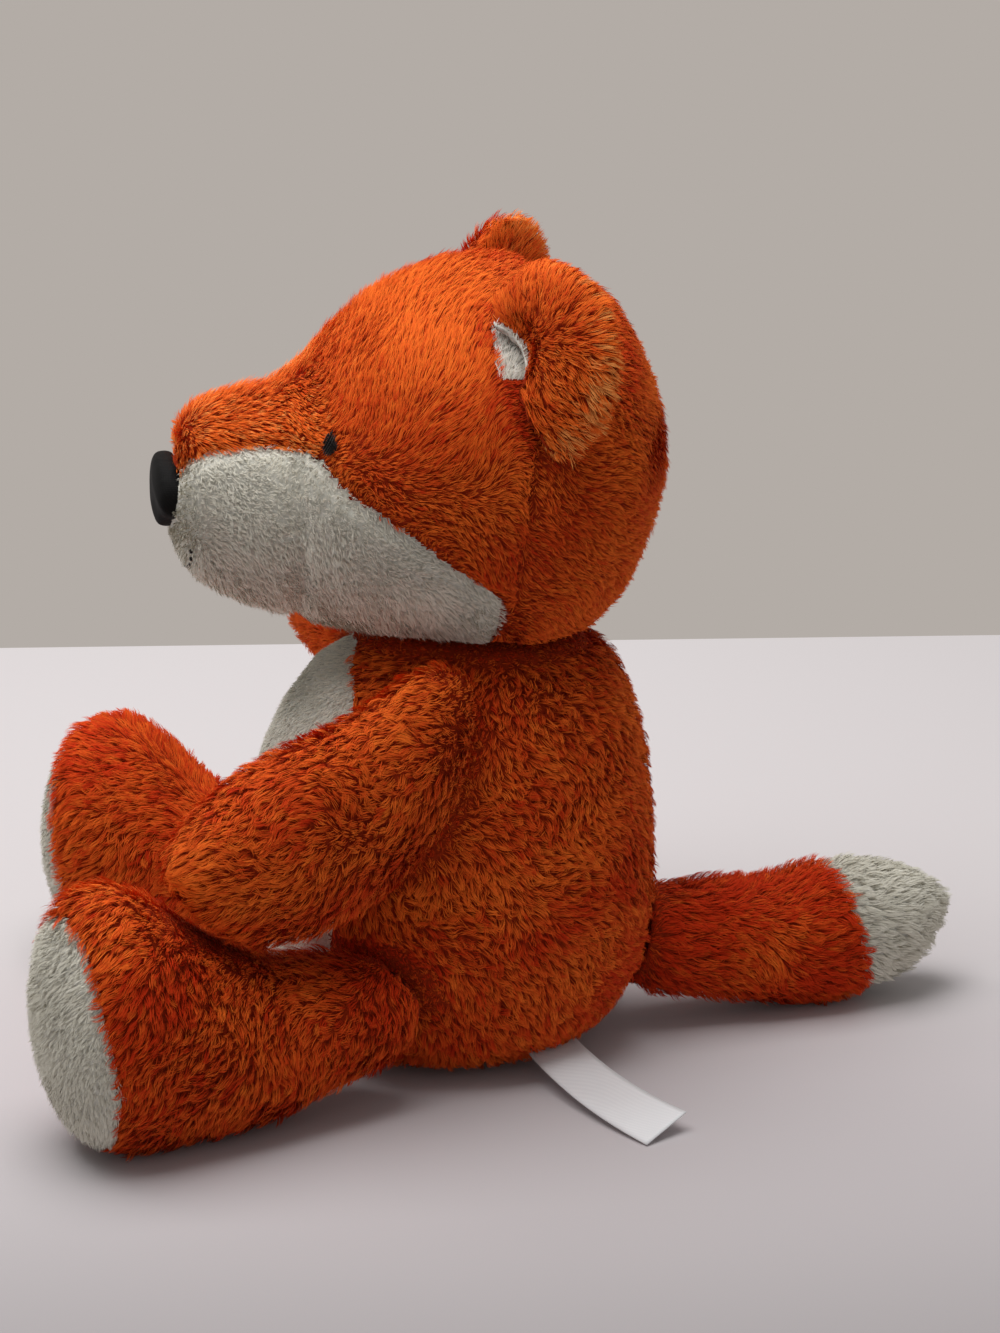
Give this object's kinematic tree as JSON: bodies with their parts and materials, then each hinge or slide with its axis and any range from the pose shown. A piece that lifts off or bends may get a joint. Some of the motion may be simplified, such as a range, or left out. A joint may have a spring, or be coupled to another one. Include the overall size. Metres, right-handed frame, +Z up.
{
  "type": "plush fox",
  "caption": "Seated plush fox with stuffed limbs that move at their seams, a bushy tail, a white belly, muzzle and soles, and a sewn-in satin strip.",
  "frame": {"origin": "on the floor plane, under the middle of the flat seat of the body", "axes": "+Z up from the seat, -Y towards the nose and feet, +Y towards the tail, +X towards the fox's own left side"},
  "size_m": [0.2311, 0.2666, 0.2248],
  "materials": {
    "orange_plush": "long soft pile plush, napped and slightly wavy",
    "white_plush": "short soft pile plush",
    "fibre_filling": "loose polyester fibre filling",
    "nose_fabric": "smooth matte woven fabric",
    "seam_thread": "embroidery and seam thread",
    "label_satin": "smooth satin, printed side left bare"
  },
  "bodies": {
    "body": {"body_cover": "orange_plush", "belly_panel": "white_plush", "body_filling": "fibre_filling", "neck_seam": "seam_thread", "satin_label": "label_satin"},
    "head": {"head_back": "orange_plush", "head_face": "orange_plush", "muzzle_left": "white_plush", "muzzle_right": "white_plush", "cheek_left": "white_plush", "cheek_right": "white_plush", "head_filling": "fibre_filling", "nose": "nose_fabric", "mouth_stitching": "seam_thread", "eye_left": "seam_thread", "eye_right": "seam_thread", "ear_left": "orange_plush", "ear_right": "orange_plush", "ear_lining_left": "white_plush", "ear_lining_right": "white_plush"},
    "arm_left": {"arm_outer_left": "orange_plush", "arm_inner_left": "orange_plush", "arm_filling_left": "fibre_filling"},
    "arm_right": {"arm_outer_right": "orange_plush", "arm_inner_right": "orange_plush", "arm_filling_right": "fibre_filling"},
    "leg_left": {"leg_outer_left": "orange_plush", "leg_inner_left": "orange_plush", "sole_left": "white_plush", "leg_filling_left": "fibre_filling"},
    "leg_right": {"leg_outer_right": "orange_plush", "leg_inner_right": "orange_plush", "sole_right": "white_plush", "leg_filling_right": "fibre_filling"},
    "tail": {"tail_panel_left": "orange_plush", "tail_panel_right": "orange_plush", "tail_tip": "white_plush", "tail_filling": "fibre_filling"}
  },
  "joints": [
    {"name": "neck_turn", "type": "hinge", "parent": "body", "child": "head", "pos_m": [0, -0.003, 0.124], "axis": [0, 0, 1], "range_deg": [-30, 30], "stiffness_Nm_per_rad": 0.6},
    {"name": "shoulder_left", "type": "hinge", "parent": "body", "child": "arm_left", "pos_m": [0.046, -0.01, 0.112], "axis": [-0.0498, -0.4387, 0.8973], "range_deg": [0, 60], "stiffness_Nm_per_rad": 0.3},
    {"name": "shoulder_right", "type": "hinge", "parent": "body", "child": "arm_right", "pos_m": [-0.046, -0.01, 0.112], "axis": [-0.0498, 0.4387, -0.8973], "range_deg": [-60, 0], "stiffness_Nm_per_rad": 0.3},
    {"name": "hip_left", "type": "hinge", "parent": "body", "child": "leg_left", "pos_m": [0.04, -0.023, 0.028], "axis": [1, 0, 0], "range_deg": [0, 35], "stiffness_Nm_per_rad": 0.4},
    {"name": "hip_right", "type": "hinge", "parent": "body", "child": "leg_right", "pos_m": [-0.04, -0.023, 0.028], "axis": [1, 0, 0], "range_deg": [0, 35], "stiffness_Nm_per_rad": 0.4},
    {"name": "tail_swing", "type": "hinge", "parent": "body", "child": "tail", "pos_m": [0, 0.046, 0.022], "axis": [0, 0, 1], "range_deg": [-12, 12], "stiffness_Nm_per_rad": 0.2}
  ]
}
